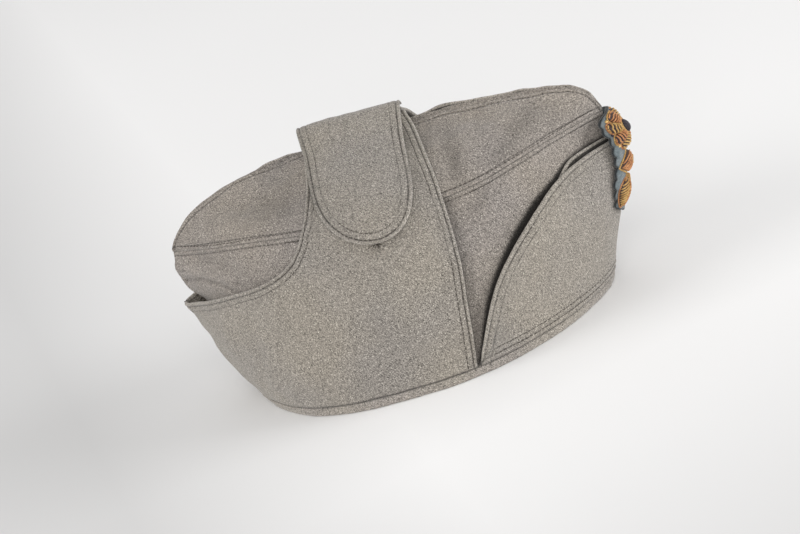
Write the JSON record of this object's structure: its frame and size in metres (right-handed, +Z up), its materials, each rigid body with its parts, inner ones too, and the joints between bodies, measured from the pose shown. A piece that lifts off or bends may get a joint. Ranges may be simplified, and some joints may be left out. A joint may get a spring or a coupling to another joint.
{
  "type": "military side cap",
  "caption": "Boat-shaped cloth side cap with a turned-up visor, turned-up ear flaps closed over the top by a tab, and a badge at the bow.",
  "frame": {"origin": "middle of the cap's footprint box, on the surface that its rim rests on", "axes": "+X towards the cap's front, where the badge is; -Y towards the wearer's right, where the tab closes; +Z up"},
  "size_m": [0.2664, 0.163, 0.137],
  "materials": {
    "crown_cloth": "field-grey wool and cotton twill, matt, slightly faded",
    "flap_cloth": "the same twill, a little paler and warmer, with stitched edges",
    "hem_cloth": "the same twill, folded and stitched, a little worn at the edge",
    "badge_felt": "blue-grey felt with a cut edge",
    "gold_thread": "gold bullion wire, aged",
    "copper_thread": "copper-coloured bullion wire, aged",
    "dark_thread": "dark plum thread",
    "stud_metal": "dark enamelled metal, hidden"
  },
  "bodies": {
    "root": {"hem_band": "hem_cloth", "crown_side_right": "crown_cloth", "crown_side_left": "crown_cloth", "crown_top_right": "crown_cloth", "crown_top_left": "crown_cloth", "crown_gusset": "crown_cloth", "ear_flap_right": "flap_cloth", "ear_flap_left": "flap_cloth", "closing_tab": "flap_cloth", "tab_stud": "stud_metal", "visor_flap": "flap_cloth", "visor_inner_ply": "flap_cloth", "badge_backing": "badge_felt", "badge_rosette": "gold_thread", "badge_boss": "dark_thread", "badge_lozenge": "copper_thread", "badge_leaf_right": "gold_thread", "badge_leaf_left": "gold_thread"}
  },
  "joints": []
}
